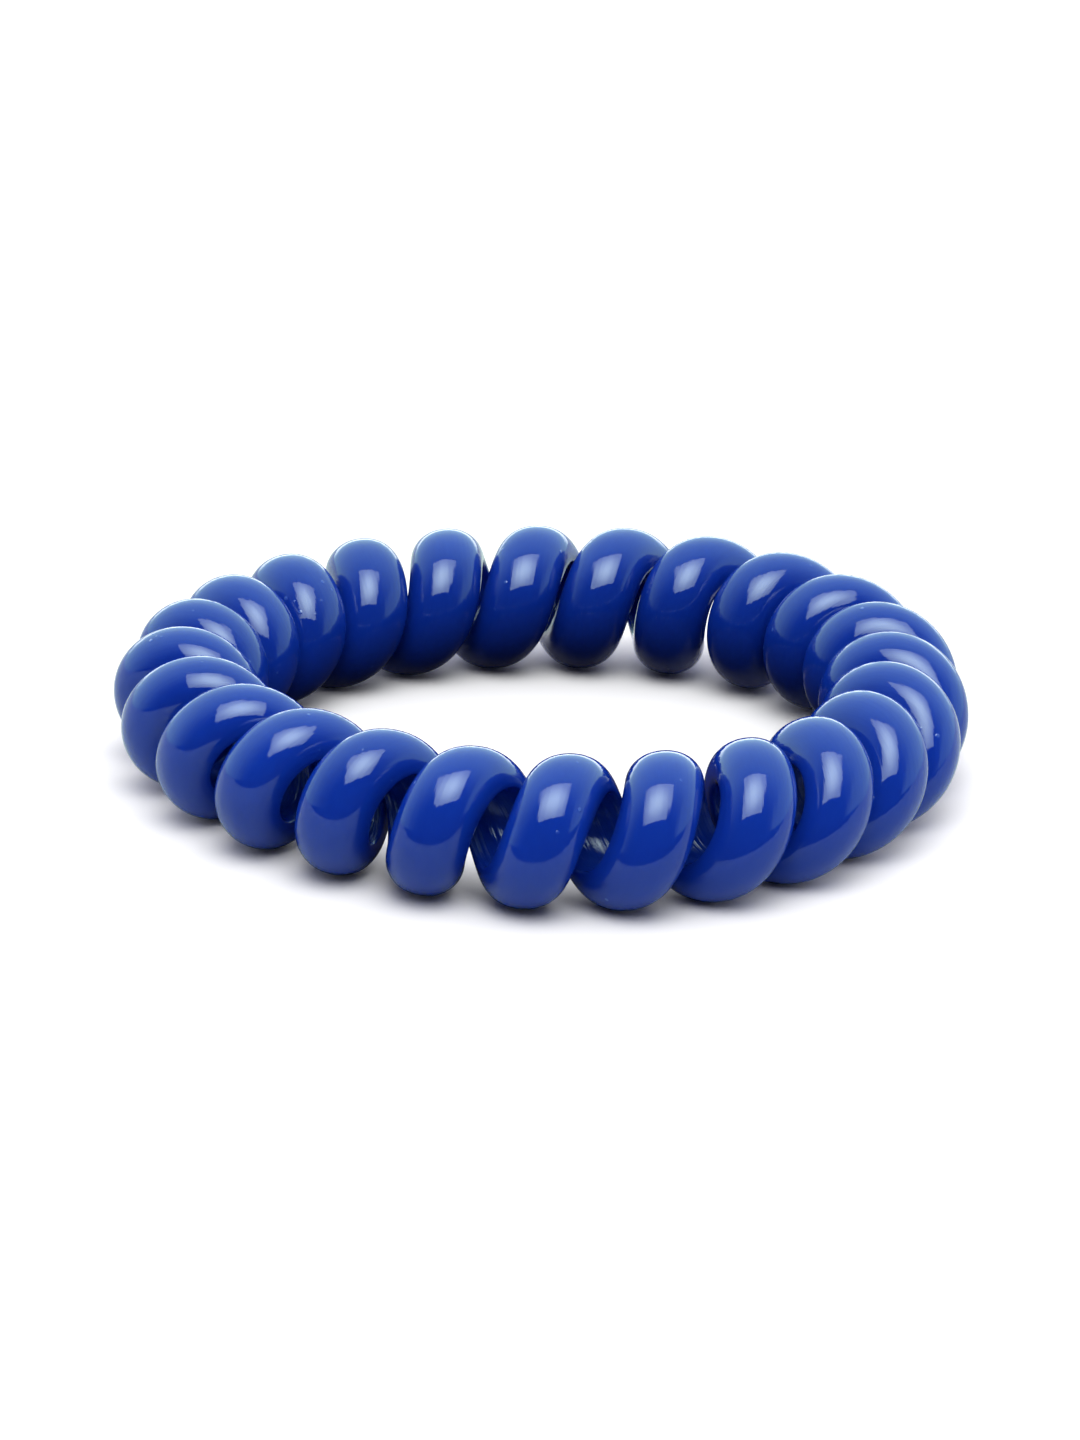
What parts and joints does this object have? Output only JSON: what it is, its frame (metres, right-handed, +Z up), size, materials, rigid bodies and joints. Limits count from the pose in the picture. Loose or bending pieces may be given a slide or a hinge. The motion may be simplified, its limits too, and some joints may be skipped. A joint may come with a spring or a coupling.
{
  "type": "spiral hair tie",
  "caption": "Spiral hair tie: one glossy elastic cord moulded as a closed coil that bends round into a ring, to gather hair or wear on a wrist.",
  "frame": {"origin": "centre of the bounding box, on the surface that the ring lies on", "axes": "+Z up, square to the plane of the ring; -Y towards the front of the ring, the side nearest the viewer in the picture; +X to the viewer's right"},
  "size_m": [0.0548, 0.0556, 0.0094],
  "materials": {
    "royal_blue_elastic": "high gloss, slightly see-through thermoplastic elastomer"
  },
  "bodies": {
    "root": {"spiral_coil": "royal_blue_elastic"}
  },
  "joints": []
}
